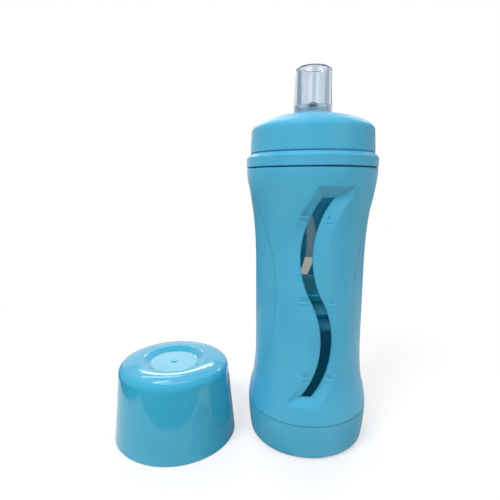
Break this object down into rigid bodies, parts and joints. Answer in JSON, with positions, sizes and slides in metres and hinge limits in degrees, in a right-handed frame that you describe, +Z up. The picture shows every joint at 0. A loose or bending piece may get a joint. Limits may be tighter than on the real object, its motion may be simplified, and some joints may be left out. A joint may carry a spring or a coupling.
{
  "type": "baby bottle",
  "caption": "Waisted baby food bottle with S-shaped windows, a clear inner cylinder, a sliding platform, a screw collar, a soft spout, a push-on base and a loose dust cap.",
  "frame": {"origin": "centre of the base cap's flat foot, on the floor", "axes": "+Z up along the bottle's axis, -Y towards the viewer and the front window, -X towards the dust cap beside the bottle"},
  "size_m": [0.1265, 0.062, 0.1749],
  "materials": {
    "blue_satin": "satin",
    "blue_gloss": "polished",
    "clear_plastic": "clear",
    "clear_silicone": "clear, soft",
    "platform_plastic": "satin",
    "platform_silicone": "soft"
  },
  "bodies": {
    "base": {"base_cap": "blue_satin"},
    "bottle": {"bottle_shell": "blue_satin", "inner_cylinder": "clear_plastic"},
    "platform_unit": {"platform": "platform_plastic", "platform_seal": "platform_silicone"},
    "spout_unit": {"spout": "clear_silicone", "spout_valve": "clear_silicone", "collar_seal": "clear_silicone"},
    "screw_collar": {"collar": "blue_satin"},
    "loose_cap": {"dust_cap": "blue_gloss"}
  },
  "joints": [
    {"name": "base_pull", "type": "slide", "parent": "base", "child": "bottle", "axis": [0, 0, 1], "range_m": [0, 0.03]},
    {"name": "platform_slide", "type": "slide", "parent": "bottle", "child": "platform_unit", "axis": [0, 0, 1], "range_m": [-0.054, 0.068]},
    {"name": "collar_lift", "type": "slide", "parent": "bottle", "child": "spout_unit", "axis": [0, 0, 1], "range_m": [0, 0.0201]},
    {"name": "collar_turn", "type": "hinge", "parent": "spout_unit", "child": "screw_collar", "pos_m": [0, 0, 0.131], "axis": [0, 0, 1], "range_deg": [0, 900]},
    {"name": "cap_lift", "type": "slide", "parent": "base", "child": "loose_cap", "axis": [0, 0, 1], "range_m": [0, 0.06]}
  ],
  "couplings": [
    {"joint": "collar_lift", "follows": "collar_turn", "m_per_rad": 0.0012732}
  ]
}
